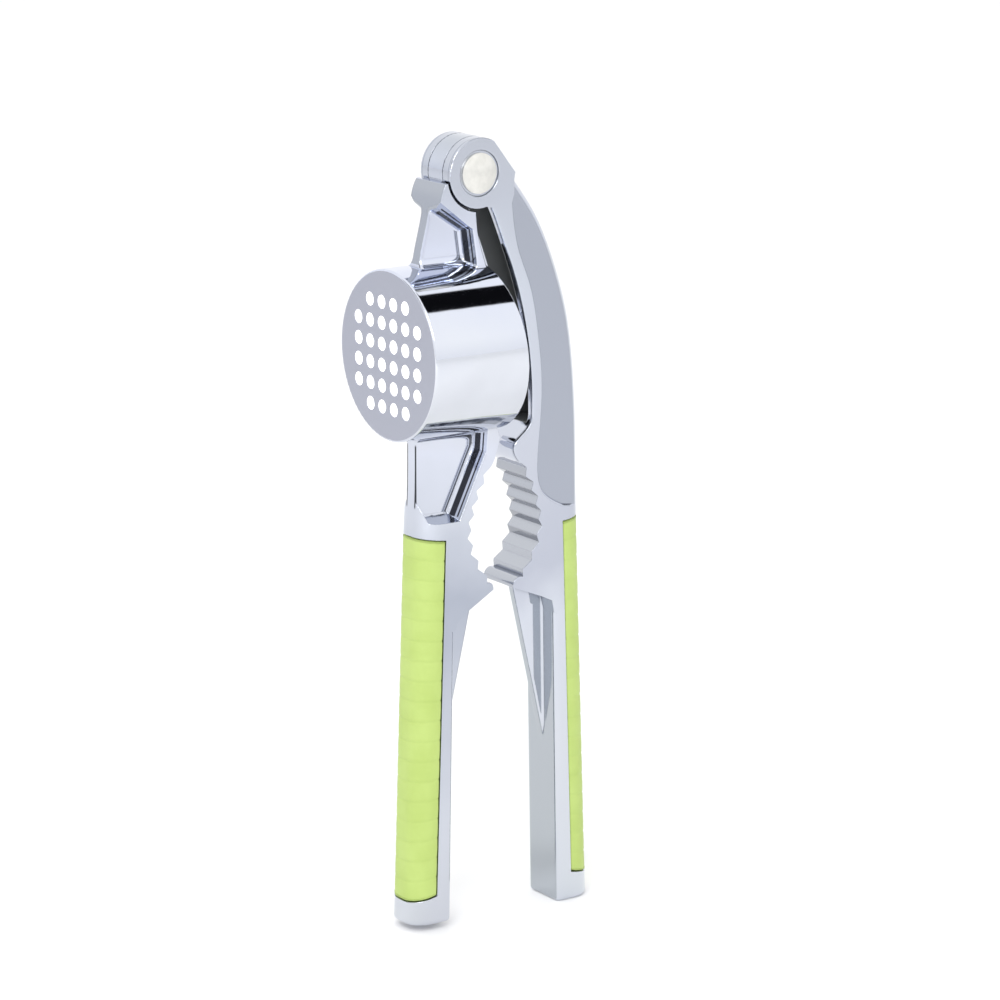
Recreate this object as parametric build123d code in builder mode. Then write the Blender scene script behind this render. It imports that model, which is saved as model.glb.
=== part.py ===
from build123d import *
import math
import os

# Garlic press with nutcracker jaws, standing on its handle tips, slightly open.
# Millimetres. +Z up, +X from the cup handle to the plunger handle, -Y towards the rivet's front head.

# overall and shared
HALF_W = 6.1          # half the width of both castings
MID_X = 1.05          # the two handles mirror each other about this line
PIN_X = -6.0          # main hinge axis, along Y
PIN_Z = 180.0
EAR_R = 8.2           # knuckle outside radius
TONGUE_HALF = 2.8     # half thickness of the centre leaf of the knuckle
EAR_GAP = 0.3         # side play between leaf and ears
SEAT_R = 8.9          # hollow that the ears turn in
INNER_R = 1.3         # round along the inner edges of the handles
OUTER_R = 5.0         # large round along the outer edges of the handles
TIP_R = 1.0           # round along the handles' lower ends
TIP_RISE = 1.6        # the cup handle ends this much higher than the plunger handle

# cup and sieve
FACE_X = -27.4        # outer face of the sieve
CUP_Z = 139.0
CUP_R = 20.0
CUP_IN_R = 18.0
SIEVE_T = 2.2
MOUTH_X = -2.0        # mouth plane on the cup axis
MOUTH_LEAN = 4.6      # degrees; the mouth's lower edge reaches farther out
HOLE_PITCH = 4.89
HOLE_R = 1.6
HOLE_ROWS = (4, 6, 6, 6, 6, 4)
RIM_R = 0.6           # round along the sieve's outer edge
EAR_EDGE_R = 0.3      # rounds along the ears and their counterbores
BAND_R = 0.5          # round along the arm's inner edge and the neck's back edge
NECK_R = 0.9          # round along the front of the neck's web
PANEL_R = 0.6         # round where the arm's proud band drops to its panel

# webs above and below the cup
WEB_HALF = 1.8
DRAFT = 15.0          # slope of the pocket walls beside a web, degrees
ROOT_R = 2.4          # round where a web runs into the cup
FLOOR_R = 0.8         # round where a web runs into its pocket's wall

# nutcracker teeth of the plunger handle: crests and the valleys between them
CRESTS = [(6.9, 107.2), (8.6, 103.7), (9.8, 100.0), (10.6, 96.4), (10.1, 92.7), (8.6, 88.8),
          (6.1, 84.9)]
VALLEYS = [(7.2, 109.2), (9.2, 105.6), (10.5, 102.0), (11.4, 98.4), (11.7, 94.6), (10.8, 90.7),
           (8.8, 86.8), (6.2, 83.1)]
LAST_CREST = (3.9, 82.6)
TOOTH_R = 0.4
GUSSET = [(6.7, 79.6), (15.9, 39.6), (17.4, 39.6), (17.4, 78.0)]
GUSSET_HALF = 1.2
RIDGE_R = 0.6         # round along the rib's free edge
GUSSET_ROOT_R = 0.8   # round where it meets the handle
PLUNGER_NOSE = (3.4, 80.8)
CUP_NOSE = (4.4, 81.2)    # before mirroring

# handles and inserts, on the plunger handle
INSERT_TOP_Z = 95.0
INSERT_TOP_SLANT = 0.12
SPLIT_TOP_X = 17.6    # line where the casting meets the insert, at its two ends
SPLIT_LOW_X = 20.5
SPLIT_LOW_Z = 7.0
INSERT_LOW_SLANT = 0.2
OUTER_TOP_X = 23.9
OUTER_LOW_X = 27.2
INNER_TOP = (15.2, 73.0)
INNER_LOW_X = 16.5
RIB_HALF = 2.0        # rib of the casting inside the insert
RIB_H = 3.0
FIT = 0.1             # room round the rib

# rivet
BARREL_R = 3.0
POST_R = 1.8
HEAD_R = 4.7
HEAD_EDGE = 0.5       # straight edge of a domed head
HEAD_CROWN = 1.2      # rise of its dome
SINK_R = 5.3          # shallow counterbore round each rivet head
SINK_DEPTH = 0.5
RUN = 0.05            # radial running clearance

# plunger
PIVOT_X = 10.6
PIVOT_Z = CUP_Z
DISC_R = 16.7
DISC_T = 3.2
DISC_X = -21.8        # front of the plunger disc
STEM_HALF_Y = 4.05
STEM_HALF_Z = 7.0
LUG_HALF = 1.5
LUG_R = 3.2
CHANNEL_HALF = 4.35   # half width of the channel in the plunger handle
PLUNGER_PIN_R = 1.5

os.makedirs("parts", exist_ok=True)


def placed(flip):
    """Side-view points are given for the plunger handle; the cup handle mirrors them."""
    return (lambda p: (2 * MID_X - p[0], p[1])) if flip else (lambda p: p)


def jaw_teeth(flip, nose):
    """Rounded teeth from the first valley down to the jaw's point."""
    place = placed(flip)
    points = [point for pair in zip(VALLEYS, CRESTS) for point in pair] + [VALLEYS[-1]]
    FilletPolyline(*[place(p) for p in points], radius=TOOTH_R)
    if flip:
        Spline(place(VALLEYS[-1]), place((4.9, 82.8)), place(nose))
    else:
        ThreePointArc(place(VALLEYS[-1]), place(LAST_CREST), place(nose))


def rib_outline(flip):
    """Side outline of the rib that an insert is pushed onto."""
    place = placed(flip)
    return [place(p) for p in ((17.0, 88.0), (17.8 + RIB_H, 88.0), (20.1 + RIB_H, 16.0), (18.0, 16.0))]


def insert_outline(flip):
    """Side outline of an insert, from the split line out past the handle's outer face."""
    place = placed(flip)
    reach = 12.0
    low_z = SPLIT_LOW_Z + (TIP_RISE if flip else 0)
    points = [(SPLIT_TOP_X, INSERT_TOP_Z), (SPLIT_TOP_X + reach, INSERT_TOP_Z + reach * INSERT_TOP_SLANT),
              (SPLIT_LOW_X + reach, low_z - reach * INSERT_LOW_SLANT), (SPLIT_LOW_X, low_z)]
    return [place(p) for p in points]


def gusset(flip):
    """Narrow rib that runs from under the jaw down the inner face and fades out."""
    place = placed(flip)
    with BuildPart() as rib:
        with BuildSketch(Plane.XZ):
            with BuildLine():
                Polyline([place(p) for p in GUSSET], close=True)
            make_face()
        extrude(amount=GUSSET_HALF, both=True)
        fillet(rib.edges().filter_by(lambda e: e.length > 40), RIDGE_R)
    return rib.part


def side_edges(part, wanted):
    """Edges on the two flat sides of a casting, chosen by their centre."""
    edges = part.edges().filter_by(lambda e: abs(abs(e.center().Y) - HALF_W) < 0.01)
    return [e for e in edges if wanted(e.center())]


def long_edges(part, length, wanted):
    """Side edges longer than a length, chosen by their centre."""
    return [e for e in side_edges(part, wanted) if e.length > length]


def tail_edges(part, flip):
    """The inner long edges of a handle below its jaw."""
    place = placed(flip)
    middle_x = place(((INNER_TOP[0] + INNER_LOW_X) / 2, 0))[0]
    return side_edges(part, lambda c: abs(c.X - middle_x) < 0.4 and abs(c.Z - INNER_TOP[1] / 2) < 3)


def gusset_roots(part, flip):
    """The long edges where the rib under the jaw meets the handle's inner face."""
    root_x = placed(flip)((15.4, 0))[0]
    return [e for e in part.edges() if abs(abs(e.center().Y) - GUSSET_HALF) < 0.02 and e.length > 20
            and abs(e.center().X - root_x) < 1.0]


def on_web(edge):
    return abs(abs(edge.center().Y) - WEB_HALF) < 0.02 and edge.geom_type == GeomType.LINE


def neck_front(part):
    """The two front edges of the web above the cup."""
    return [e for e in part.edges() if abs(abs(e.center().Y) - WEB_HALF) < 0.02 and e.length > 5
            and e.center().X < -15 and 158 < e.center().Z < 176]


def root_edges(part):
    """Straight edges where the two webs run into the cup."""
    height = math.sqrt(CUP_R ** 2 - WEB_HALF ** 2)
    return [e for e in part.edges() if on_web(e) and e.length > 3
            and abs(abs(e.center().Z - CUP_Z) - height) < 0.1]


def floor_edges(part):
    """Edges where the two webs run into the slanting walls of their pockets."""
    return [e for e in part.edges() if on_web(e) and e.length > 3 and e.center().X > -20
            and (CUP_Z + CUP_R < e.center().Z < 176 or e.center().Z < CUP_Z - CUP_R - 0.5)
            and e.center().Z > 98]


# ---------------------------------------------------------------- plunger handle
with BuildPart() as upper_back:
    with BuildSketch(Plane.XZ):
        with BuildLine():
            Line((OUTER_LOW_X, 0), (OUTER_TOP_X, INSERT_TOP_Z))
            Spline((OUTER_TOP_X, INSERT_TOP_Z), (23.7, 104.0), (23.5, 116.6), (23.0, 127.2), (22.0, 137.6),
                   (20.6, 145.6), (18.4, 153.4), (14.2, 164.2), (10.2, 171.4), (5.3, 178.0),
                   tangents=[(-0.035, 1), (-0.62, 0.78)])
            Polyline((5.3, 178.0), (0.5, 173.0), (8.0, 155.0), (13.0, 137.0), (15.2, 118.0), INNER_TOP,
                     (INNER_LOW_X, 0), (OUTER_LOW_X, 0))
        make_face()
    extrude(amount=HALF_W, both=True)
    fillet(side_edges(upper_back.part, lambda c: c.X > MID_X + 16 and c.Z > 5), OUTER_R)
    fillet(tail_edges(upper_back.part, False), INNER_R)
    fillet(upper_back.faces().sort_by(Axis.Z)[0].edges(), TIP_R)

with BuildPart() as upper_handle:
    with BuildSketch(Plane.XZ):
        with BuildLine():
            ThreePointArc((-2.15, 187.25), (PIN_X - EAR_R, PIN_Z), (-3.9, 172.07))
            Line((-3.9, 172.07), (-2.7, 171.8))
            Spline((-2.7, 171.8), (-0.4, 166.4), (5.0, 151.1), (8.1, 135.4), (8.8, 122.0),
                   tangents=[(0.5, -1), (0, -1)])
            Spline((8.8, 122.0), (7.0, 118.3), (3.6, 114.6), (5.0, 111.0), VALLEYS[0],
                   tangents=[(0, -1), (1, -0.9)])
            jaw_teeth(False, PLUNGER_NOSE)
            Polyline(PLUNGER_NOSE, (11.5, 77.5), (14.6, 76.0), INNER_TOP, (17.4, 72.0),
                     (17.4, 118.0), (15.8, 137.0), (11.0, 153.0), (3.6, 167.0), (3.6, 177.9), (3.9, 179.4),
                     (-2.15, 187.25))
        make_face()
    extrude(amount=HALF_W, both=True)
    add(upper_back.part)
    add(gusset(False))
    # slot between the ears for the centre leaf and the neck behind it
    with BuildSketch(Plane.XZ):
        with Locations((PIN_X, PIN_Z)):
            Circle(SEAT_R)
        with BuildLine():
            Polyline((-18, 168), (-2.4, 168), (-0.4, 171.6), (1.0, 176.0), (-6, 192), (-18, 192), close=True)
        make_face()
    extrude(amount=TONGUE_HALF + EAR_GAP, both=True, mode=Mode.SUBTRACT)
    # channel open towards the cup
    with BuildSketch(Plane.XZ):
        with BuildLine():
            Polyline((-6, 174), (0.2, 174.2), (5.4, 169.0), (10.2, 160.5), (14.4, 150.0), (17.2, 139.0),
                     (18.0, 127.0), (17.6, 122.0), (15.0, 119.8), (3.0, 119.8), (-6, 150), close=True)
        make_face()
    extrude(amount=CHANNEL_HALF, both=True, mode=Mode.SUBTRACT)
    # lug for the plunger's pivot
    with BuildSketch(Plane.XZ):
        with Locations((PIVOT_X, PIVOT_Z)):
            Circle(LUG_R)
        with BuildLine():
            Polyline((PIVOT_X, PIVOT_Z - LUG_R), (20.0, PIVOT_Z - 5.0), (20.0, PIVOT_Z + 5.0),
                     (PIVOT_X, PIVOT_Z + LUG_R), close=True)
        make_face()
    extrude(amount=LUG_HALF, both=True)
    with BuildSketch(Plane.XZ):
        with Locations((PIVOT_X, PIVOT_Z)):
            Circle(PLUNGER_PIN_R + RUN)
    extrude(amount=LUG_HALF + 1, both=True, mode=Mode.SUBTRACT)
    # shallow panel on each side of the arm, behind a proud inner band
    for side in (1, -1):
        with BuildSketch(Plane.XZ.offset(side * (HALF_W + 1))):
            with BuildLine():
                Spline((3.2, 173.2), (5.2, 161.1), (8.0, 153.8), (10.6, 141.7), (11.8, 128.3),
                       (11.2, 117.8), (10.6, 109.5), (12.4, 102.6), (17.0, 99.4), (22.0, 98.6),
                       tangents=[(0.1, -1), (1, -0.05)])
                Polyline((22.0, 98.6), (30, 98.6), (30, 182), (6.0, 182), (3.2, 173.2))
            make_face()
        extrude(amount=-side * 1.75, mode=Mode.SUBTRACT)
    # rivet hole and the counterbores round its heads
    with BuildSketch(Plane.XZ):
        with Locations((PIN_X, PIN_Z)):
            Circle(BARREL_R)
    extrude(amount=HALF_W + 1, both=True, mode=Mode.SUBTRACT)
    for side in (1, -1):
        with BuildSketch(Plane.XZ.offset(side * (HALF_W + 1))):
            with Locations((PIN_X, PIN_Z)):
                Circle(SINK_R)
        extrude(amount=-side * (SINK_DEPTH + 1), mode=Mode.SUBTRACT)
    # recess for the insert, with the rib that it is pushed onto
    for side in (1, -1):
        with BuildSketch(Plane.XZ.offset(side * (HALF_W + 1))):
            with BuildLine():
                Polyline(insert_outline(False), close=True)
            make_face()
        extrude(amount=-side * (HALF_W + 1 - RIB_HALF), mode=Mode.SUBTRACT)
    with BuildSketch(Plane.XZ):
        with BuildLine():
            Polyline(insert_outline(False), close=True)
        make_face()
        with BuildLine():
            Polyline(rib_outline(False), close=True)
        make_face(mode=Mode.SUBTRACT)
    extrude(amount=RIB_HALF + 0.5, both=True, mode=Mode.SUBTRACT)
    # rounds along the rib's root, the ears, the inner band and the panel
    fillet(gusset_roots(upper_handle.part, False), GUSSET_ROOT_R)
    fillet(long_edges(upper_handle.part, 20, lambda c: c.Z > 179 and c.X < -8), EAR_EDGE_R)
    fillet(long_edges(upper_handle.part, 60, lambda c: 121 < c.Z < 172 and c.X < 9), BAND_R)
    fillet(long_edges(upper_handle.part, 60, lambda c: 98 < c.Z < 173 and 9 < c.X < 15), PANEL_R)

# ---------------------------------------------------------------- cup handle
with BuildPart() as lower_back:
    with BuildSketch(Plane.XZ):
        with BuildLine():
            Line(placed(True)((OUTER_LOW_X, TIP_RISE)), placed(True)((OUTER_TOP_X, INSERT_TOP_Z)))
            Spline(placed(True)((OUTER_TOP_X, INSERT_TOP_Z)), (-21.4, 102.0), (-21.1, 122.0),
                   tangents=[(0.035, 1), (0.0, 1)])
            Polyline((-21.1, 122.0), (-15.0, 122.0), placed(True)(INNER_TOP),
                     placed(True)((INNER_LOW_X, TIP_RISE)), placed(True)((OUTER_LOW_X, TIP_RISE)))
        make_face()
    extrude(amount=HALF_W, both=True)
    fillet(side_edges(lower_back.part, lambda c: c.X < MID_X - 20 and c.Z > 5), OUTER_R)
    fillet(tail_edges(lower_back.part, True), INNER_R)
    fillet(lower_back.faces().sort_by(Axis.Z)[0].edges(), TIP_R)

with BuildPart() as lower_handle:
    # neck above the cup
    with BuildSketch(Plane.XZ):
        with BuildLine():
            Spline((-15.3, 178.2), (-16.4, 175.9), (-17.2, 171.5), (-18.7, 165.0), (-19.8, 160.0),
                   (-20.4, 154.0))
            Polyline((-20.4, 154.0), (-5.0, 150.0), (-3.4, 156.9))
            Spline((-3.4, 156.9), (-4.9, 161.0), (-6.0, 164.6), (-6.8, 170.5),
                   tangents=[(-0.5, 1), (-0.08, 1)])
            Polyline((-6.8, 170.5), (-6.8, 174.0), (-12.4, 179.0), (-15.3, 178.2))
        make_face()
    extrude(amount=HALF_W, both=True)
    # pocket on each side of the web above the cup
    for side in (1, -1):
        with BuildSketch(Plane.XZ.offset(side * WEB_HALF)):
            with BuildLine():
                Polyline((-30, 176.6), (-19.0, 173.4), (-8.9, 166.6), (-7.9, 159.8), (-7.2, 150), (-30, 150),
                         close=True)
            make_face()
        extrude(amount=side * HALF_W, taper=-DRAFT, mode=Mode.SUBTRACT)
    # the knuckle's base tapers down to the web at its front
    for side in (1, -1):
        for x, low, high in ((-21.0, 172.0, 177.8), (-8.9, 166.6, 168.0)):
            with BuildSketch(Plane.YZ.offset(x)):
                Polygon(*[(side * y, z) for y, z in ((WEB_HALF, low), (3.4, 0.6 * low + 0.4 * high),
                                                     (HALF_W + 0.1, high), (9.0, high), (9.0, 164.0),
                                                     (WEB_HALF, 164.0))], align=None)
        loft(mode=Mode.SUBTRACT)
    # jaw, web and handle below the cup
    with BuildSketch(Plane.XZ):
        with BuildLine():
            jaw_teeth(True, CUP_NOSE)
            Polyline([placed(True)(p) for p in (CUP_NOSE, (12.5, 76.5), (14.6, 74.5), INNER_TOP,
                                                (18.0, 72.0), (18.0, 100.0))]
                     + [(-16.0, 122.0), (-3.0, 126.0), (-0.5, 117.6)])
            Spline((-0.5, 117.6), (-1.4, 114.0), (-2.9, 111.0), placed(True)(VALLEYS[0]),
                   tangents=[(-0.1, -1), (-1, -0.9)])
        make_face()
    extrude(amount=HALF_W, both=True)
    add(lower_back.part)
    add(gusset(True))
    # pocket on each side of the web below the cup
    for side in (1, -1):
        with BuildSketch(Plane.XZ.offset(side * WEB_HALF)):
            with BuildLine():
                Polyline((-30, 124.0), (-4.6, 124.0), (-5.3, 115.0), (-12.4, 100.2), (-19.2, 100.2),
                         (-21.2, 104.0), (-30, 104.0), close=True)
            make_face()
        extrude(amount=side * HALF_W, taper=-DRAFT, mode=Mode.SUBTRACT)
    # cup body
    with BuildSketch(Plane.YZ.offset(FACE_X)):
        with Locations((0, CUP_Z)):
            Circle(CUP_R)
    extrude(amount=MOUTH_X + 4 - FACE_X)
    fillet(root_edges(lower_handle.part), ROOT_R)
    fillet(floor_edges(lower_handle.part), FLOOR_R)
    fillet(lower_handle.edges().sort_by(Axis.X).filter_by(GeomType.CIRCLE)[0], RIM_R)
    # cup bore and leaning mouth
    with BuildSketch(Plane.YZ.offset(FACE_X + SIEVE_T)):
        with Locations((0, CUP_Z)):
            Circle(CUP_IN_R)
    extrude(amount=40, mode=Mode.SUBTRACT)
    lean = math.tan(math.radians(MOUTH_LEAN))
    with BuildSketch(Plane.XZ):
        with BuildLine():
            Polyline((MOUTH_X - 20.4 * lean, CUP_Z + 20.4), (MOUTH_X + 21.4 * lean, CUP_Z - 21.4),
                     (12, CUP_Z - 21.4), (12, CUP_Z + 20.4), close=True)
        make_face()
    extrude(amount=CUP_R + 2, both=True, mode=Mode.SUBTRACT)
    # sieve holes: a square grid without its corners
    with BuildSketch(Plane.YZ.offset(FACE_X - 1)):
        for row, count in enumerate(HOLE_ROWS):
            with Locations((0, CUP_Z + (2.5 - row) * HOLE_PITCH)):
                with GridLocations(HOLE_PITCH, HOLE_PITCH, count, 1):
                    Circle(HOLE_R)
    extrude(amount=SIEVE_T + 2, mode=Mode.SUBTRACT)
    # round seat for the ears, leaving the centre leaf
    for side in (1, -1):
        with BuildSketch(Plane.XZ.offset(side * (HALF_W + 1))):
            with Locations((PIN_X, PIN_Z)):
                Circle(SEAT_R)
        extrude(amount=-side * (HALF_W + 1 - TONGUE_HALF), mode=Mode.SUBTRACT)
    with BuildSketch(Plane.XZ):
        with Locations((PIN_X, PIN_Z)):
            Circle(EAR_R)
        with BuildLine():
            Polyline((PIN_X, PIN_Z), (-15.0, 178.2), (-15.5, 171.0), (-7.2, 169.0), close=True)
        make_face()
    extrude(amount=TONGUE_HALF, both=True)
    with BuildSketch(Plane.XZ):
        with Locations((PIN_X, PIN_Z)):
            Circle(BARREL_R + RUN)
    extrude(amount=HALF_W, both=True, mode=Mode.SUBTRACT)
    # recess for the insert, with the rib that it is pushed onto
    for side in (1, -1):
        with BuildSketch(Plane.XZ.offset(side * (HALF_W + 1))):
            with BuildLine():
                Polyline(insert_outline(True), close=True)
            make_face()
        extrude(amount=-side * (HALF_W + 1 - RIB_HALF), mode=Mode.SUBTRACT)
    with BuildSketch(Plane.XZ):
        with BuildLine():
            Polyline(insert_outline(True), close=True)
        make_face()
        with BuildLine():
            Polyline(rib_outline(True), close=True)
        make_face(mode=Mode.SUBTRACT)
    extrude(amount=RIB_HALF + 0.5, both=True, mode=Mode.SUBTRACT)
    # rounds along the rib's root, the neck's two edges and the lower pocket's rim
    fillet(gusset_roots(lower_handle.part, True), GUSSET_ROOT_R)
    fillet(long_edges(lower_handle.part, 3, lambda c: 156 < c.Z < 172 and c.X > -8), BAND_R)
    fillet(neck_front(lower_handle.part), NECK_R)
    fillet([e for e in side_edges(lower_handle.part, lambda c: 98 < c.Z < 120 and -14 < c.X < -4)
            if e.length > 12], BAND_R)

# ---------------------------------------------------------------- handle inserts
with BuildPart() as upper_grip:
    add(upper_back.part)
    with BuildSketch(Plane.XZ):
        with BuildLine():
            Polyline(insert_outline(False), close=True)
        make_face()
    extrude(amount=HALF_W + 1, both=True, mode=Mode.INTERSECT)
    with BuildSketch(Plane.XZ):
        with BuildLine():
            Polyline(rib_outline(False), close=True)
        make_face()
        offset(amount=FIT)
    extrude(amount=RIB_HALF + FIT, both=True, mode=Mode.SUBTRACT)

with BuildPart() as lower_grip:
    add(lower_back.part)
    with BuildSketch(Plane.XZ):
        with BuildLine():
            Polyline(insert_outline(True), close=True)
        make_face()
    extrude(amount=HALF_W + 1, both=True, mode=Mode.INTERSECT)
    with BuildSketch(Plane.XZ):
        with BuildLine():
            Polyline(rib_outline(True), close=True)
        make_face()
        offset(amount=FIT)
    extrude(amount=RIB_HALF + FIT, both=True, mode=Mode.SUBTRACT)

# ---------------------------------------------------------------- hinge rivet
# A tube and a post that is pressed into it, each with a domed head.
pin_plane = Plane(origin=(PIN_X, 0, PIN_Z), x_dir=(1, 0, 0), z_dir=(0, 0, 1))
pin_axis = Axis((PIN_X, 0, PIN_Z), (0, 1, 0))
SEAT_Y = HALF_W - SINK_DEPTH    # both heads bear on the floors of their counterbores

with BuildPart() as rivet_barrel:
    with BuildSketch(pin_plane):
        with BuildLine():
            Polyline((0, -SEAT_Y - HEAD_EDGE - HEAD_CROWN), (0, -SEAT_Y), (POST_R + 0.02, -SEAT_Y),
                     (POST_R + 0.02, SEAT_Y - 0.4), (BARREL_R, SEAT_Y - 0.4), (BARREL_R, -SEAT_Y),
                     (HEAD_R, -SEAT_Y), (HEAD_R, -SEAT_Y - HEAD_EDGE))
            TangentArc((0, -SEAT_Y - HEAD_EDGE - HEAD_CROWN), (HEAD_R, -SEAT_Y - HEAD_EDGE), tangent=(1, 0),
                       tangent_from_first=True)
        make_face()
    revolve(axis=pin_axis)

with BuildPart() as rivet_post:
    with BuildSketch(pin_plane):
        with BuildLine():
            Polyline((0, SEAT_Y + HEAD_EDGE + HEAD_CROWN), (0, -3.4), (POST_R, -3.4), (POST_R, SEAT_Y),
                     (HEAD_R, SEAT_Y), (HEAD_R, SEAT_Y + HEAD_EDGE))
            TangentArc((0, SEAT_Y + HEAD_EDGE + HEAD_CROWN), (HEAD_R, SEAT_Y + HEAD_EDGE), tangent=(1, 0),
                       tangent_from_first=True)
        make_face()
    revolve(axis=pin_axis)

# ---------------------------------------------------------------- plunger
with BuildPart() as plunger:
    with BuildSketch(Plane.YZ.offset(DISC_X)):
        with Locations((0, CUP_Z)):
            Circle(DISC_R)
    extrude(amount=DISC_T)
    chamfer(plunger.edges().filter_by(GeomType.CIRCLE).sort_by(Axis.X)[:1], 0.5)
    with BuildSketch(Plane.YZ.offset(DISC_X + DISC_T)):
        with Locations((0, CUP_Z)):
            Circle(9.0)
    extrude(amount=3.0, taper=40)
    with BuildSketch(Plane.XZ):
        with BuildLine():
            Polyline((DISC_X + 1, CUP_Z - STEM_HALF_Z), (PIVOT_X - 1, CUP_Z - STEM_HALF_Z),
                     (PIVOT_X + 3.0, CUP_Z - 4.0), (PIVOT_X + 3.0, CUP_Z + 4.0),
                     (PIVOT_X - 1, CUP_Z + STEM_HALF_Z), (DISC_X + 1, CUP_Z + STEM_HALF_Z), close=True)
        make_face()
    extrude(amount=STEM_HALF_Y, both=True)
    # gap of the fork that straddles the lug
    with BuildSketch(Plane.XZ):
        with Locations((PIVOT_X, PIVOT_Z)):
            Circle(LUG_R + 1.2)
        with BuildLine():
            Polyline((PIVOT_X, PIVOT_Z - 4.4), (PIVOT_X + 12, PIVOT_Z - 12), (PIVOT_X + 12, PIVOT_Z + 12),
                     (PIVOT_X, PIVOT_Z + 4.4), close=True)
        make_face()
    extrude(amount=LUG_HALF + 0.3, both=True, mode=Mode.SUBTRACT)
    with BuildSketch(Plane.XZ):
        with Locations((PIVOT_X, PIVOT_Z)):
            Circle(PLUNGER_PIN_R)
    extrude(amount=STEM_HALF_Y + 1, both=True, mode=Mode.SUBTRACT)

with BuildPart() as plunger_pin:
    with BuildSketch(Plane.XZ):
        with Locations((PIVOT_X, PIVOT_Z)):
            Circle(PLUNGER_PIN_R)
    extrude(amount=STEM_HALF_Y, both=True)

for name, piece in {
    "lower_handle": lower_handle,
    "upper_handle": upper_handle,
    "lower_grip": lower_grip,
    "upper_grip": upper_grip,
    "rivet_barrel": rivet_barrel,
    "rivet_post": rivet_post,
    "plunger": plunger,
    "plunger_pin": plunger_pin,
}.items():
    piece.part.label = name
    export_step(piece.part, "parts/" + name + ".step")
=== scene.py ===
import math
import bpy
import bmesh
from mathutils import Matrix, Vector


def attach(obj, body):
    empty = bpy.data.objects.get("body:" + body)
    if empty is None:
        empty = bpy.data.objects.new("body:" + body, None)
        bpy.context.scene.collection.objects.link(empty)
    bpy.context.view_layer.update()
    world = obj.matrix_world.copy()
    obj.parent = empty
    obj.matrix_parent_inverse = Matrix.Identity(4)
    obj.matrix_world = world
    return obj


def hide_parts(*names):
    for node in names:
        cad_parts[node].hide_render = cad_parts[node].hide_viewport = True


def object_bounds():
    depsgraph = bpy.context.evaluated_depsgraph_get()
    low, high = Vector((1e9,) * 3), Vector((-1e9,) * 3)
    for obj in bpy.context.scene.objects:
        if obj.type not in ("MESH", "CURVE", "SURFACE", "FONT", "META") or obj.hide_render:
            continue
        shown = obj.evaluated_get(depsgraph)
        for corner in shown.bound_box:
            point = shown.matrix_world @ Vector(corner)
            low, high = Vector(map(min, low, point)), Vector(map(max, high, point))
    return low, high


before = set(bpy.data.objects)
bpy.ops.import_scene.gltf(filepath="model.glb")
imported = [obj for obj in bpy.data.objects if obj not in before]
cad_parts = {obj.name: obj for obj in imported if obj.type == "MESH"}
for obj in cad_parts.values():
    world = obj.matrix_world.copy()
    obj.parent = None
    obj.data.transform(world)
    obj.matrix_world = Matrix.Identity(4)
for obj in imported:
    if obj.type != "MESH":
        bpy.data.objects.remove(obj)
cad_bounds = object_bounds()
scene = bpy.context.scene


# ------------------------------------------------------------------ studio
# A pale table in a white tent, with one softbox. The tent's roof has a long black card, which
# the chrome shows as crisp dark streaks where it turns upward, and a small one behind on the left.
def put(tree, kind, settings=None, inputs=None):
    """A node of a kind, with its settings, and values or sockets for its inputs."""
    made = tree.nodes.new(kind)
    for name, value in (settings or {}).items():
        setattr(made, name, value)
    for name, value in (inputs or {}).items():
        if isinstance(value, bpy.types.NodeSocket):
            tree.links.new(value, made.inputs[name])
        else:
            made.inputs[name].default_value = value
    return made


def maths(tree, operation, first, second=0.0):
    """The sum, product or the like of two sockets or numbers."""
    return put(tree, "ShaderNodeMath", {"operation": operation}, {0: first, 1: second}).outputs[0]


def rise(tree, value, low, high):
    """0 below low, 1 above high, smooth between."""
    return put(tree, "ShaderNodeMapRange", {"interpolation_type": "SMOOTHSTEP"},
               {"Value": value, "From Min": low, "From Max": high}).outputs["Result"]


def within(tree, value, low, high, soft):
    """1 between low and high, falling to 0 over a soft edge outside them."""
    start = rise(tree, value, low - soft, low)
    end = rise(tree, value, high, high + soft)
    return maths(tree, "SUBTRACT", start, end)


def both(tree, *masks):
    """Where every mask is 1."""
    result = masks[0]
    for mask in masks[1:]:
        result = maths(tree, "MULTIPLY", result, mask)
    return result


def colour_mix(tree, mask, first, second):
    """The first colour where the mask is 0, and the second where it is 1."""
    return put(tree, "ShaderNodeMix", {"data_type": "RGBA"}, {0: mask, 6: first, 7: second}).outputs[2]


def number_mix(tree, mask, first, second):
    """The first number where the mask is 0, and the second where it is 1."""
    return put(tree, "ShaderNodeMix", {"data_type": "FLOAT"}, {0: mask, 2: first, 3: second}).outputs[0]


FLOOR_SIZE = 30.0
PAPER = (0.95, 0.95, 0.955, 1)
bpy.ops.mesh.primitive_plane_add(size=FLOOR_SIZE, location=(0, 0, cad_bounds[0].z))
table_top = bpy.context.object
table_top.name = "table_top"
paper = bpy.data.materials.new("white_paper")
paper.use_nodes = True
paper_shader = paper.node_tree.nodes["Principled BSDF"]
paper_shader.inputs["Base Color"].default_value = PAPER
paper_shader.inputs["Roughness"].default_value = 0.9
paper_shader.inputs["Specular IOR Level"].default_value = 0.1
table_top.data.materials.append(paper)

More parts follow.
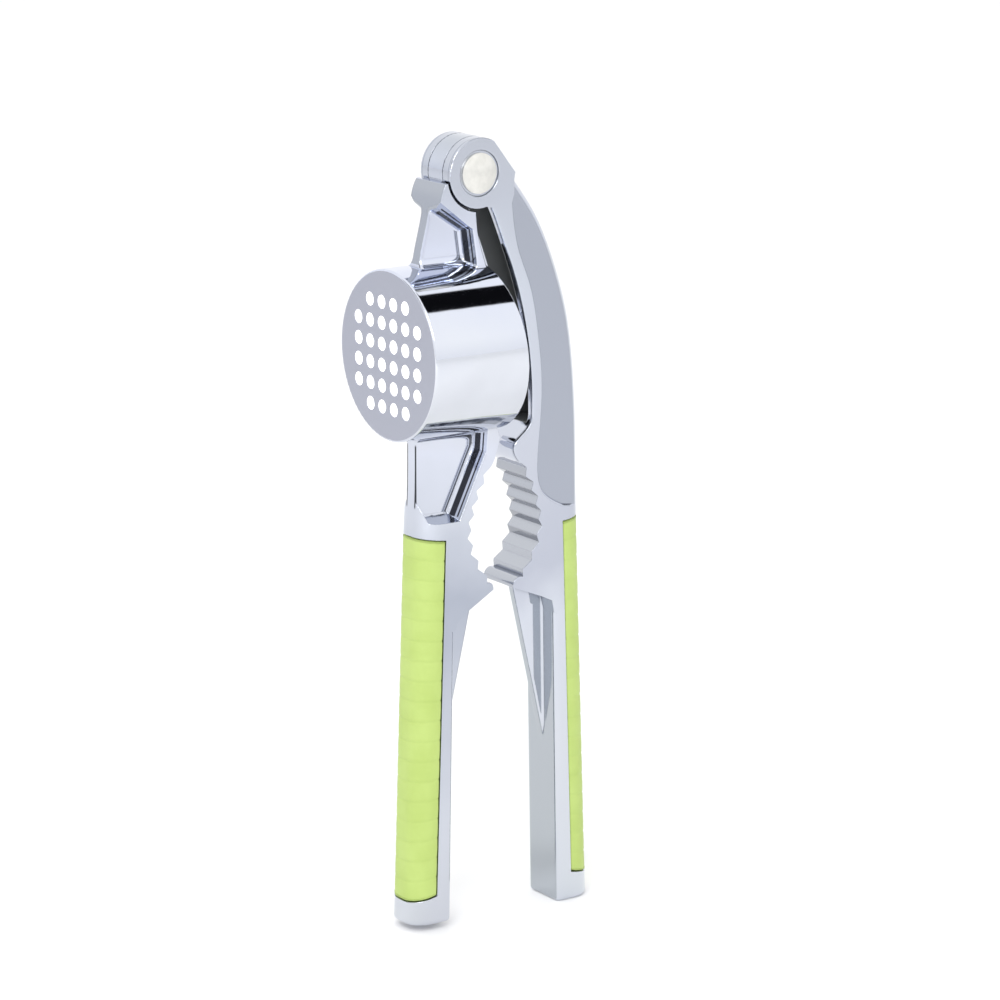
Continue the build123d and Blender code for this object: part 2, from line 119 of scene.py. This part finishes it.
TENT_STRENGTH = 1.22
WHITE = (1.0, 1.0, 1.0, 1)
BLACK = (0.004, 0.004, 0.005, 1)
TENT_SKIRT = (0.86, 0.87, 0.90, 1)
SKIRT_RISE = (-0.1, 0.35)          # the tent turns white between these, as parts of a look straight up
ROOF_CARD_X, ROOF_CARD_Y, ROOF_CARD_RISE = (0.15, 0.95), (-0.36, 0.02), (0.48, 0.54)
BACK_CARD_Z, BACK_CARD_Y, BACK_CARD_RISE = (0.40, 0.60), (0.10, 0.60), (0.60, 0.66)
tent_world = bpy.data.worlds.new("white_tent")
scene.world = tent_world
tent_world.use_nodes = True
tent = tent_world.node_tree
look_way = put(tent, "ShaderNodeTexCoord").outputs["Generated"]
way_x, way_y, way_z = put(tent, "ShaderNodeSeparateXYZ", inputs={0: look_way}).outputs
wall = colour_mix(tent, rise(tent, way_z, *SKIRT_RISE), TENT_SKIRT, WHITE)
roof_card = both(tent, within(tent, way_y, *ROOF_CARD_Y, 0.03), rise(tent, way_z, *ROOF_CARD_RISE),
                 within(tent, way_x, *ROOF_CARD_X, 0.08))
back_card = both(tent, within(tent, way_z, *BACK_CARD_Z, 0.03), within(tent, way_y, *BACK_CARD_Y, 0.05),
                 rise(tent, maths(tent, "MULTIPLY", way_x, -1.0), *BACK_CARD_RISE))
cards = maths(tent, "ADD", roof_card, back_card)
tent.links.new(colour_mix(tent, cards, wall, BLACK), tent.nodes["Background"].inputs["Color"])
tent.nodes["Background"].inputs["Strength"].default_value = TENT_STRENGTH


def softbox(name, place, aim, size, watts):
    """A square diffused lamp at place, facing aim."""
    lamp = bpy.data.lights.new(name, "AREA")
    lamp.size = size
    lamp.energy = watts
    lamp_object = bpy.data.objects.new(name, lamp)
    lamp_object.location = place
    lamp_object.rotation_euler = (Vector(aim) - Vector(place)).to_track_quat("-Z", "Y").to_euler()
    scene.collection.objects.link(lamp_object)


softbox("key_softbox", place=(-0.9, -0.9, 1.1), aim=(0, 0, 0.1), size=0.8, watts=9.0)
scene.view_settings.view_transform = "Standard"
scene.view_settings.look = "None"

# ------------------------------------------------------------------ camera
# A long lens on the cup handle's side, above the press and looking a little down on it.
camera_data = bpy.data.cameras.new("camera")
camera_data.lens = 141.6
camera_data.sensor_width = 36.0
camera = bpy.data.objects.new("camera", camera_data)
camera.location = (-0.5074, -0.7391, 0.3215)
camera.rotation_euler = (math.radians(76.20), 0, math.radians(-34.67))
scene.collection.objects.link(camera)
scene.camera = camera

# ------------------------------------------------------------------ cup handle
# One die casting: knuckle leaf, neck web, cup with its sieve, jaw and handle spine, all under
# bright chrome. Shade and reflections are painted into the plate's colour, by height and darker in the
# corners, and the sieve's face is ground satin.
MM = 0.001
FACE_X = -27.4 * MM       # outer face of the sieve
SIEVE_T = 2.2 * MM
SKIN = 0.02 * MM          # how near a face an area's edge comes
CUP_Z = 139.0 * MM
HOLES_R = 17.4 * MM       # all the sieve's holes lie inside this radius
BORE_R = 18.1 * MM        # just outside the cup's bore
CUP_R = 20.6 * MM         # just outside the cup's wall
PAINTED_SHADE_REACH = 1.6 * MM   # how far the painted shade in corners spreads
# colour of the painted shade in corners and creases
PAINTED_CORNER_SHADE = (0.42, 0.44, 0.48)
EDGE_ROUND = 0.28 * MM    # softness of the cast edges under the plate
CLOUD_SCALE, CLOUD_DRIFT = 45.0, 0.16    # slow unevenness of the painted shading up the casting
SPECK_SCALE, POLISH = 900.0, (0.035, 0.085)
WAVE_SCALE, WAVE_STRENGTH, WAVE_DEPTH = 85.0, 0.28, 0.2 * MM


def plated(name, painted_shading):
    """Chrome over a casting, with shade and reflections painted into its colour by height. The painted shades
    are (height in mm, colour) from the foot up.

    Gives the material, its tree, the place's sockets, the normal and the look that areas are laid into."""
    chrome = bpy.data.materials.new(name)
    chrome.use_nodes = True
    tree = chrome.node_tree
    coordinates = put(tree, "ShaderNodeTexCoord")
    place = coordinates.outputs["Object"]
    xyz = put(tree, "ShaderNodeSeparateXYZ", inputs={0: place}).outputs
    cloud = put(tree, "ShaderNodeTexNoise", inputs={"Vector": place, "Scale": CLOUD_SCALE, "Detail": 3.0})
    top = painted_shading[-1][0]
    height = maths(tree, "DIVIDE", xyz[2], top * MM)
    swing = maths(tree, "MULTIPLY", maths(tree, "SUBTRACT", cloud.outputs[0], 0.5), CLOUD_DRIFT)
    # Painted shade and reflections: the colour is set by height up the casting, with a slow random drift
    ramp = put(tree, "ShaderNodeValToRGB", inputs={"Fac": maths(tree, "ADD", height, swing)})
    stops = ramp.color_ramp.elements
    stops[0].position, stops[0].color = painted_shading[0][0] / top, (*painted_shading[0][1], 1)
    stops[1].position, stops[1].color = 1.0, (*painted_shading[-1][1], 1)
    for level, colour in painted_shading[1:-1]:
        stops.new(level / top).color = (*colour, 1)
    speck = put(tree, "ShaderNodeTexNoise", inputs={"Vector": place, "Scale": SPECK_SCALE, "Detail": 2.0})
    polish = put(tree, "ShaderNodeMapRange",
                 inputs={"Value": speck.outputs[0], "To Min": POLISH[0], "To Max": POLISH[1]})
    wave = put(tree, "ShaderNodeTexNoise", inputs={"Vector": place, "Scale": WAVE_SCALE, "Detail": 1.5})
    edge = put(tree, "ShaderNodeBevel", {"samples": 6}, {"Radius": EDGE_ROUND})
    bump = put(tree, "ShaderNodeBump", inputs={"Strength": WAVE_STRENGTH, "Distance": WAVE_DEPTH,
                                               "Height": wave.outputs[0], "Normal": edge.outputs[0]})
    shader = tree.nodes["Principled BSDF"]
    shader.inputs["Metallic"].default_value = 1.0
    tree.links.new(bump.outputs["Normal"], shader.inputs["Normal"])
    look = {"colour": ramp.outputs["Color"], "roughness": polish.outputs["Result"]}
    return chrome, tree, xyz, coordinates.outputs["Normal"], look


def lay_area(tree, look, mask, colour, roughness):
    """Gives the masked area its own colour and roughness."""
    look["colour"] = colour_mix(tree, mask, look["colour"], (*colour, 1))
    look["roughness"] = number_mix(tree, mask, look["roughness"], roughness)


def close_look(tree, look):
    """Paints shade into the corners and creases, and joins the look to the shader."""
    corner = put(tree, "ShaderNodeAmbientOcclusion", {"samples": 8, "only_local": True},
                 {"Distance": PAINTED_SHADE_REACH}).outputs["AO"]
    shade = colour_mix(tree, rise(tree, corner, 0.25, 0.85), (*PAINTED_CORNER_SHADE, 1), WHITE)
    colour = put(tree, "ShaderNodeMix", {"data_type": "RGBA", "blend_type": "MULTIPLY"},
                 {0: 1.0, 6: look["colour"], 7: shade}).outputs[2]
    shader = tree.nodes["Principled BSDF"]
    tree.links.new(colour, shader.inputs["Base Color"])
    tree.links.new(look["roughness"], shader.inputs["Roughness"])


def within_mm(tree, value, span, soft):
    """1 inside a span given in mm, with a soft edge outside it."""
    return within(tree, value, span[0] * MM, span[1] * MM, soft * MM)


def over(tree, value, level):
    """1 where the value is over the level."""
    return maths(tree, "GREATER_THAN", value, level)


def under(tree, value, level):
    """1 where the value is under the level."""
    return maths(tree, "LESS_THAN", value, level)


def distance_from_cup(tree, xyz):
    """How far a point is from the cup's long axis."""
    beside = put(tree, "ShaderNodeCombineXYZ",
                 inputs={0: 0.0, 1: xyz[1], 2: maths(tree, "SUBTRACT", xyz[2], CUP_Z)}).outputs[0]
    return put(tree, "ShaderNodeVectorMath", {"operation": "LENGTH"}, {0: beside}).outputs["Value"]


def give(node_name, material):
    """Puts one material on a piece of the frame."""
    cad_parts[node_name].data.materials.clear()
    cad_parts[node_name].data.materials.append(material)


# Painted shade and reflections by height: (height in mm, colour) from the foot up
CUP_PAINTED_SHADING = (
    (0, (0.58, 0.60, 0.66)), (30, (0.58, 0.605, 0.67)), (80, (0.40, 0.43, 0.505)),
    (100, (0.56, 0.59, 0.66)), (115, (0.64, 0.67, 0.76)), (126, (0.60, 0.62, 0.67)),
    (139, (0.70, 0.725, 0.78)), (165, (0.62, 0.655, 0.77)), (190, (0.46, 0.49, 0.55)))
GROUND_FACE = (0.41, 0.425, 0.495), 0.34      # colour and roughness of each area
TURNED_BORE = (0.42, 0.43, 0.46), 0.22
# painted light: the sieve holes' walls are near white and glow, as if lit through
HOLES_PAINTED_WHITE = (0.95, 0.95, 0.96), 0.5
# painted shade on the knuckle's faces that look to the sieve's side
KNUCKLE_FRONT_PAINTED_SHADE = (0.385, 0.41, 0.46), 0.12
PAINTED_REFLECTION_BAND = (0.045, 0.047, 0.055), 0.10
# painted reflection: a thin dark line along the web's front edge
PAINTED_EDGE_REFLECTION = (0.05, 0.052, 0.06), 0.10
HOLE_PAINTED_GLOW = 0.55
POCKET_X, POCKET_Z = (-15.8, -4.0), (100.0, 173.0)      # the pockets above and below the cup
POCKET_UPWARD = 0.7       # the pockets' floors face up more than this
DEEP_REFLECTION_BAND, THIN_REFLECTION_BAND = (2.5, 4.0), (4.75, 5.05)         # painted dark reflections across the pockets' walls
WEB_EDGE_Y, WEB_EDGE_Z, WEB_FRONT_X = (1.45, 1.84), (103.0, 117.0), -20.9 * MM
KNUCKLE_Z = (150.0, 178.3)
FACES_FRONT = -0.8        # a normal's X on faces that look to the sieve's side

cup_chrome, tree, cup_xyz, cup_normal, look = plated("cup_handle_chrome", CUP_PAINTED_SHADING)
from_axis = distance_from_cup(tree, cup_xyz)
half_y = maths(tree, "ABSOLUTE", cup_xyz[1])
facing = put(tree, "ShaderNodeSeparateXYZ", inputs={0: cup_normal}).outputs
sieve_face = under(tree, cup_xyz[0], FACE_X + SKIN)
hole_wall = both(tree, within(tree, cup_xyz[0], FACE_X + 1.5 * SKIN, FACE_X + SIEVE_T - SKIN, 0.5 * SKIN),
                 under(tree, from_axis, HOLES_R))
cup_bore = both(tree, over(tree, cup_xyz[0], FACE_X + SIEVE_T - SKIN), under(tree, from_axis, BORE_R))
pocket = both(tree, over(tree, from_axis, CUP_R), within_mm(tree, cup_xyz[0], POCKET_X, 0.1),
              within_mm(tree, cup_xyz[2], POCKET_Z, 0.2), under(tree, facing[2], POCKET_UPWARD))
painted_reflection_bands = maths(tree, "ADD", within_mm(tree, half_y, DEEP_REFLECTION_BAND, 0.15), within_mm(tree, half_y, THIN_REFLECTION_BAND, 0.12))
web_edge = both(tree, within_mm(tree, half_y, WEB_EDGE_Y, 0.05), under(tree, cup_xyz[0], WEB_FRONT_X),
                within_mm(tree, cup_xyz[2], WEB_EDGE_Z, 0.8))
knuckle_front = both(tree, under(tree, facing[0], FACES_FRONT), over(tree, from_axis, CUP_R),
                     within_mm(tree, cup_xyz[2], KNUCKLE_Z, 0.1))
lay_area(tree, look, sieve_face, *GROUND_FACE)
lay_area(tree, look, cup_bore, *TURNED_BORE)
# painted light: the holes' walls are near white, as if lit through
lay_area(tree, look, hole_wall, *HOLES_PAINTED_WHITE)
# painted shade on the knuckle's faces that look to the sieve's side
lay_area(tree, look, knuckle_front, *KNUCKLE_FRONT_PAINTED_SHADE)
# painted reflections: dark bands across the pockets' walls
lay_area(tree, look, maths(tree, "MULTIPLY", pocket, painted_reflection_bands), *PAINTED_REFLECTION_BAND)
# painted reflection: a thin dark line along the lower web's front edge
lay_area(tree, look, web_edge, *PAINTED_EDGE_REFLECTION)
close_look(tree, look)
cup_shader = tree.nodes["Principled BSDF"]
# painted light: the holes' walls lose their metal and glow white
tree.links.new(maths(tree, "SUBTRACT", 1.0, hole_wall), cup_shader.inputs["Metallic"])
cup_shader.inputs["Emission Color"].default_value = WHITE
tree.links.new(maths(tree, "MULTIPLY", hole_wall, HOLE_PAINTED_GLOW), cup_shader.inputs["Emission Strength"])
give("lower_handle", cup_chrome)

# ------------------------------------------------------------------ plunger handle
# The other die casting, plated the same way: ears, curved arm, jaw and handle spine. Its side
# panels are finer satin than the proud band round them and painted darker as shade, and its channel is
# painted dark grey and dull, as shade.
# Painted shade and reflections by height: (height in mm, colour) from the foot up
ARM_PAINTED_SHADING = (
    (0, (0.62, 0.65, 0.71)), (40, (0.62, 0.645, 0.70)), (72, (0.60, 0.63, 0.70)),
    (84, (0.48, 0.505, 0.585)), (110, (0.54, 0.565, 0.64)), (150, (0.57, 0.605, 0.68)),
    (175, (0.50, 0.53, 0.60)), (190, (0.49, 0.515, 0.58)))
# the sunk panels: a satin finish, with painted shade darkening their colour
SATIN_PANEL_PAINTED_SHADE = (0.385, 0.41, 0.475), 0.16
# painted shade on the teeth, darker still on their undersides
TOOTH_PAINTED_SHADE = (0.44, 0.46, 0.505), 0.16
TOOTH_UNDERSIDE_PAINTED_SHADE = (0.30, 0.315, 0.35), 0.16
# painted shade in the arm's channel: dark grey and dull
CHANNEL_PAINTED_SHADE = (0.20, 0.21, 0.215), 0.42
# painted shade on the handle's inner face
INNER_FACE_PAINTED_SHADE = (0.44, 0.47, 0.505), 0.14
CHANNEL_DULLING = 0.8     # how much of the metal's shine the channel loses
PANEL_Y, PANEL_FOOT = (5.20, 5.43), 98.5 * MM           # half width across the sunk panels
CHANNEL_Y = 4.45 * MM     # just outside the channel's walls
CHANNEL_FOOT, CHANNEL_TOP = 119.6 * MM, 175.0 * MM
TEETH_Z = (81.0, 109.0)
INNER_FACE_TOP = 79.0 * MM

arm_chrome, tree, arm_xyz, arm_normal, look = plated("plunger_handle_chrome", ARM_PAINTED_SHADING)
half_y = maths(tree, "ABSOLUTE", arm_xyz[1])
facing = put(tree, "ShaderNodeSeparateXYZ", inputs={0: arm_normal}).outputs
panel = both(tree, within_mm(tree, half_y, PANEL_Y, 0.1), over(tree, arm_xyz[2], PANEL_FOOT))
channel = both(tree, under(tree, half_y, CHANNEL_Y), under(tree, facing[0], 0.2),
               over(tree, arm_xyz[2], CHANNEL_FOOT), under(tree, arm_xyz[2], CHANNEL_TOP))
teeth = both(tree, under(tree, facing[0], -0.2), within_mm(tree, arm_xyz[2], TEETH_Z, 0.3))
tooth_undersides = both(tree, teeth, under(tree, facing[2], -0.1))
inner_face = both(tree, under(tree, facing[0], -0.85), under(tree, arm_xyz[2], INNER_FACE_TOP))
# the sunk panels: satin, and painted darker as shade
lay_area(tree, look, panel, *SATIN_PANEL_PAINTED_SHADE)
# painted shade: the teeth darker, their undersides darker still
lay_area(tree, look, teeth, *TOOTH_PAINTED_SHADE)
lay_area(tree, look, tooth_undersides, *TOOTH_UNDERSIDE_PAINTED_SHADE)
# painted shade: the channel is dark grey
lay_area(tree, look, channel, *CHANNEL_PAINTED_SHADE)
# painted shade: the handle's inner face is darker
lay_area(tree, look, inner_face, *INNER_FACE_PAINTED_SHADE)
close_look(tree, look)
arm_shader = tree.nodes["Principled BSDF"]
# the channel's painted shade also loses most of the metal's shine
dulled = maths(tree, "MULTIPLY", channel, CHANNEL_DULLING)
tree.links.new(maths(tree, "SUBTRACT", 1.0, dulled), arm_shader.inputs["Metallic"])
give("upper_handle", arm_chrome)

# ------------------------------------------------------------------ handle inserts
# Two lime polypropylene inserts pressed onto the castings' ribs. Each is moulded with shallow
# ring grooves, its edges are rounded, and a fine gap shows all round where it meets the metal.
MID_X = 1.05              # the handles mirror each other about this line; these sizes are in mm
INSERT_TOP = 95.0
TOP_SLANT, FOOT_SLANT = 0.12, -0.2      # rise of the ends, going outward
SPLIT_X = (17.6, 20.5)    # split line, at the top and at the foot
OUTER_X = (23.9, 27.2)    # outer face, at the top and at the foot
HALF_W = 6.1
CORNER_R = 5.0            # large round along the outer edges
LIP_R = 0.45              # small rounds at the split line and the ends
SEAM = 0.14               # gap to the metal
RIB_HALF = 2.1            # slot that goes over the casting's rib
RIB_X = (20.9, 23.2)      # the slot's floor, at the heights of RIB_FLOOR_Z
RIB_FLOOR_Z = (88.0, 16.0)
RIB_Z = (15.8, 88.2)      # the slot's foot and top
SLOT_DRAFT = 0.02
ROW_STEP = 0.3            # mesh rows along the insert
END_ROWS = 4              # rows round each end
RINGS = 18


def taper(z, top_z, foot_z, ends):
    """Where a straight face stands at height z, from its places at the top and at the foot."""
    return ends[0] + (top_z - z) / (top_z - foot_z) * (ends[1] - ends[0])


def insert_outline(z, split, outer, draw_in):
    """The (x, y) points round an insert at one height, drawn in at its ends."""
    flat = split + SEAM
    deep = taper(z, *RIB_FLOOR_Z, RIB_X) if RIB_Z[0] < z < RIB_Z[1] else flat
    half = HALF_W - draw_in
    side = []
    for angle in range(0, 91, 9):
        side.append((outer - draw_in - CORNER_R + CORNER_R * math.cos(math.radians(angle)),
                     half - CORNER_R + CORNER_R * math.sin(math.radians(angle))))
    for angle in range(0, 91, 30):
        side.append((flat + LIP_R * (1 - math.sin(math.radians(angle))),
                     half - LIP_R * (1 - math.cos(math.radians(angle)))))
    side += [(flat, RIB_HALF + SLOT_DRAFT), (deep, RIB_HALF)]
    return side + [(x, -y) for x, y in reversed(side)]


def insert_rows(foot_z, outer_foot_z):
    """Rows of (x, y, z) in mm round an insert, from its foot to its top, and each row's place in rings."""
    rows = []
    count = round((INSERT_TOP - foot_z) / ROW_STEP)
    for step in range(-END_ROWS, count + END_ROWS + 1):
        share = min(max(step, 0), count) / count
        z = foot_z + SEAM + share * (INSERT_TOP - foot_z - 2 * SEAM)
        past = max(-step, step - count, 0) / END_ROWS      # end caps shrink in by the lip's round
        draw_in = LIP_R * (1 - math.cos(math.asin(past)))
        lift = LIP_R * past * (-1 if step < 0 else 1)
        set_back = LIP_R * ((share == 0) - (share == 1))   # the ends' rounds stay inside the length
        split = taper(z, INSERT_TOP, foot_z, SPLIT_X)
        outer = taper(z, INSERT_TOP, outer_foot_z, OUTER_X)
        slant = FOOT_SLANT * (1 - share) + TOP_SLANT * share
        row = [(x, y, z + slant * (x - split) + lift + set_back)
               for x, y in insert_outline(z, split, outer, draw_in)]
        rows.append((row, share * RINGS))
    return rows


def insert_shell(name, rows, mirrored):
    """A closed mesh through the rows, with each point's place along the rings kept."""
    mesh = bmesh.new()
    ring = mesh.verts.layers.float.new("ring")
    loops = []
    for row, turn in rows:
        loop = []
        for x, y, z in row:
            vert = mesh.verts.new(((2 * MID_X - x if mirrored else x) * MM, y * MM, z * MM))
            vert[ring] = turn
            loop.append(vert)
        loops.append(loop)
    for low, high in zip(loops, loops[1:]):
        for i in range(len(low)):
            j = (i + 1) % len(low)
            mesh.faces.new((low[i], low[j], high[j], high[i]))
    mesh.faces.new(reversed(loops[0]))
    mesh.faces.new(loops[-1])
    bmesh.ops.triangulate(mesh, faces=[f for f in mesh.faces if len(f.verts) > 4])
    bmesh.ops.recalc_face_normals(mesh, faces=mesh.faces)
    data = bpy.data.meshes.new(name)
    mesh.to_mesh(data)
    mesh.free()
    shell = bpy.data.objects.new(name, data)
    scene.collection.objects.link(shell)
    return shell


def ring_tree():
    """Geometry nodes that press a groove into the shell at every whole ring."""
    tree = bpy.data.node_groups.new("insert_rings", "GeometryNodeTree")
    face = tree.interface
    face.new_socket("Geometry", in_out="INPUT", socket_type="NodeSocketGeometry")
    for label in ("Groove depth", "Groove width", "Crown"):
        face.new_socket(label, in_out="INPUT", socket_type="NodeSocketFloat")
    face.new_socket("Plastic", in_out="INPUT", socket_type="NodeSocketMaterial")
    face.new_socket("Geometry", in_out="OUTPUT", socket_type="NodeSocketGeometry")
    given = tree.nodes.new("NodeGroupInput").outputs
    turn = put(tree, "GeometryNodeInputNamedAttribute", {"data_type": "FLOAT"}, {"Name": "ring"}).outputs[0]
    part_turn = maths(tree, "FRACT", maths(tree, "ADD", turn, 0.5))
    off = maths(tree, "ABSOLUTE", maths(tree, "SUBTRACT", part_turn, 0.5))
    groove = put(tree, "ShaderNodeMapRange", {"interpolation_type": "SMOOTHSTEP"},
                 {"Value": off, "From Max": given["Groove width"],
                  "To Min": given["Groove depth"], "To Max": 0.0}).outputs["Result"]
    bulge = maths(tree, "POWER", maths(tree, "MULTIPLY", off, 2.0), 2.0)
    sag = maths(tree, "SUBTRACT", given["Crown"], maths(tree, "MULTIPLY", bulge, given["Crown"]))
    push = maths(tree, "MULTIPLY", maths(tree, "ADD", groove, sag), -1.0)
    normal = tree.nodes.new("GeometryNodeInputNormal").outputs[0]
    offset = put(tree, "ShaderNodeVectorMath", {"operation": "SCALE"}, {0: normal, "Scale": push}).outputs[0]
    moved = put(tree, "GeometryNodeSetPosition", inputs={"Geometry": given["Geometry"], "Offset": offset})
    smooth = put(tree, "GeometryNodeSetShadeSmooth", inputs={0: moved.outputs[0]})
    real = put(tree, "GeometryNodeRealizeInstances", inputs={0: smooth.outputs[0]})
    coated = put(tree, "GeometryNodeSetMaterial",
                 inputs={"Geometry": real.outputs[0], "Material": given["Plastic"]})
    put(tree, "NodeGroupOutput", inputs={0: coated.outputs[0]})
    return tree


LIME_LIGHT, LIME_MID = (0.460, 0.590, 0.175, 1), (0.425, 0.550, 0.150, 1)
# painted shade in the grooves and corners, and how far it spreads
LIME_PAINTED_SHADE, LIME_SHADE_REACH = (0.33, 0.45, 0.10, 1), 0.6 * MM
LIME_CLOUD_SCALE, GRAIN_SCALE = 130.0, 2400.0
GRAIN_DEPTH = 0.05 * MM
LIME_SHEEN = (0.40, 0.58)


def lime_plastic():
    """Moulded polypropylene: even lime with faint clouds, a fine matt grain, and shade painted into the
    grooves.
    """
    lime = bpy.data.materials.new("lime_plastic")
    lime.use_nodes = True
    tree = lime.node_tree
    place = put(tree, "ShaderNodeTexCoord").outputs["Object"]
    cloud = put(tree, "ShaderNodeTexNoise",
                inputs={"Vector": place, "Scale": LIME_CLOUD_SCALE, "Detail": 4.0})
    colour = colour_mix(tree, rise(tree, cloud.outputs[0], 0.3, 0.7), LIME_MID, LIME_LIGHT)
    # painted shade: grooves and corners darker
    corner = put(tree, "ShaderNodeAmbientOcclusion", {"samples": 8, "only_local": True},
                 {"Distance": LIME_SHADE_REACH}).outputs["AO"]
    colour = colour_mix(tree, rise(tree, corner, 0.35, 0.95), LIME_PAINTED_SHADE, colour)
    grain = put(tree, "ShaderNodeTexNoise", inputs={"Vector": place, "Scale": GRAIN_SCALE, "Detail": 2.0})
    bump = put(tree, "ShaderNodeBump",
               inputs={"Strength": 0.25, "Distance": GRAIN_DEPTH, "Height": grain.outputs[0]})
    sheen = put(tree, "ShaderNodeMapRange",
                inputs={"Value": grain.outputs[0], "To Min": LIME_SHEEN[0], "To Max": LIME_SHEEN[1]})
    shader = tree.nodes["Principled BSDF"]
    shader.inputs["Specular IOR Level"].default_value = 0.35
    tree.links.new(colour, shader.inputs["Base Color"])
    tree.links.new(sheen.outputs["Result"], shader.inputs["Roughness"])
    tree.links.new(bump.outputs["Normal"], shader.inputs["Normal"])
    return lime


lime = lime_plastic()
rings = ring_tree()
ring_sizes = {"Groove depth": 0.14 * MM, "Groove width": 0.075, "Crown": 0.04 * MM, "Plastic": lime}
INSERTS = (      # name, foot, foot of the outer face, on the cup handle's side or not, body
    ("upper_grip", 7.0, 0.0, False, "upper"),
    ("lower_grip", 8.6, 1.6, True, "lower"))
for name, foot_z, outer_foot_z, mirrored, body in INSERTS:
    shell = insert_shell(name + "_rings", insert_rows(foot_z, outer_foot_z), mirrored)
    presser = shell.modifiers.new("rings", "NODES")
    presser.node_group = rings
    for item in rings.interface.items_tree:
        if item.in_out == "INPUT" and item.name in ring_sizes:
            presser[item.identifier] = ring_sizes[item.name]
    evaluated = shell.evaluated_get(bpy.context.evaluated_depsgraph_get())
    pressed = bpy.data.meshes.new_from_object(evaluated)
    shell.modifiers.clear()
    shell.data = pressed
    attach(shell, body)
    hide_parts(name)

# ------------------------------------------------------------------ hinge rivet
# A tube and a post of nickel-plated steel, pressed together through the knuckle. Each has a
# low domed head, left a soft warm satin by the press.
NICKEL_LIGHT, NICKEL_DARK, NICKEL_SHINE = (0.80, 0.79, 0.75), (0.68, 0.675, 0.64), 0.30
SKIN_CLOUD_SCALE = 420.0
SKIN_SPREAD = 0.12        # how much rougher the skin gets than its shine
SKIN_DEPTH = 0.05 * MM


def satin_metal(name, light, dark, shine):
    """Plain or plated steel, slightly cloudy, with a fine satin skin."""
    metal = bpy.data.materials.new(name)
    metal.use_nodes = True
    tree = metal.node_tree
    place = put(tree, "ShaderNodeTexCoord").outputs["Object"]
    cloud = put(tree, "ShaderNodeTexNoise",
                inputs={"Vector": place, "Scale": SKIN_CLOUD_SCALE, "Detail": 5.0})
    colour = colour_mix(tree, rise(tree, cloud.outputs[0], 0.25, 0.75), (*dark, 1), (*light, 1))
    skin = put(tree, "ShaderNodeMapRange",
               inputs={"Value": cloud.outputs[0], "To Min": shine, "To Max": shine + SKIN_SPREAD})
    bump = put(tree, "ShaderNodeBump",
               inputs={"Strength": 0.3, "Distance": SKIN_DEPTH, "Height": cloud.outputs[0]})
    shader = tree.nodes["Principled BSDF"]
    shader.inputs["Metallic"].default_value = 1.0
    tree.links.new(colour, shader.inputs["Base Color"])
    tree.links.new(skin.outputs["Result"], shader.inputs["Roughness"])
    tree.links.new(bump.outputs["Normal"], shader.inputs["Normal"])
    return metal


rivet_nickel = satin_metal("rivet_nickel", NICKEL_LIGHT, NICKEL_DARK, NICKEL_SHINE)
give("rivet_barrel", rivet_nickel)
give("rivet_post", rivet_nickel)

# ------------------------------------------------------------------ plunger and its pin
# The plunger is a small casting, chromed like the handles in one even shade. It swings on a
# plain steel pin through the arm's lug.
# Painted shading by height, nearly even: a touch lighter at the cup's height
PLUNGER_PAINTED_SHADING = ((0, (0.62, 0.64, 0.70)), (139, (0.64, 0.66, 0.72)), (190, (0.62, 0.64, 0.70)))
STEEL_LIGHT, STEEL_DARK, STEEL_SHINE = (0.60, 0.61, 0.63), (0.50, 0.51, 0.53), 0.18
plunger_chrome, tree, _, _, look = plated("plunger_chrome", PLUNGER_PAINTED_SHADING)
close_look(tree, look)
give("plunger", plunger_chrome)
give("plunger_pin", satin_metal("pin_steel", STEEL_LIGHT, STEEL_DARK, STEEL_SHINE))
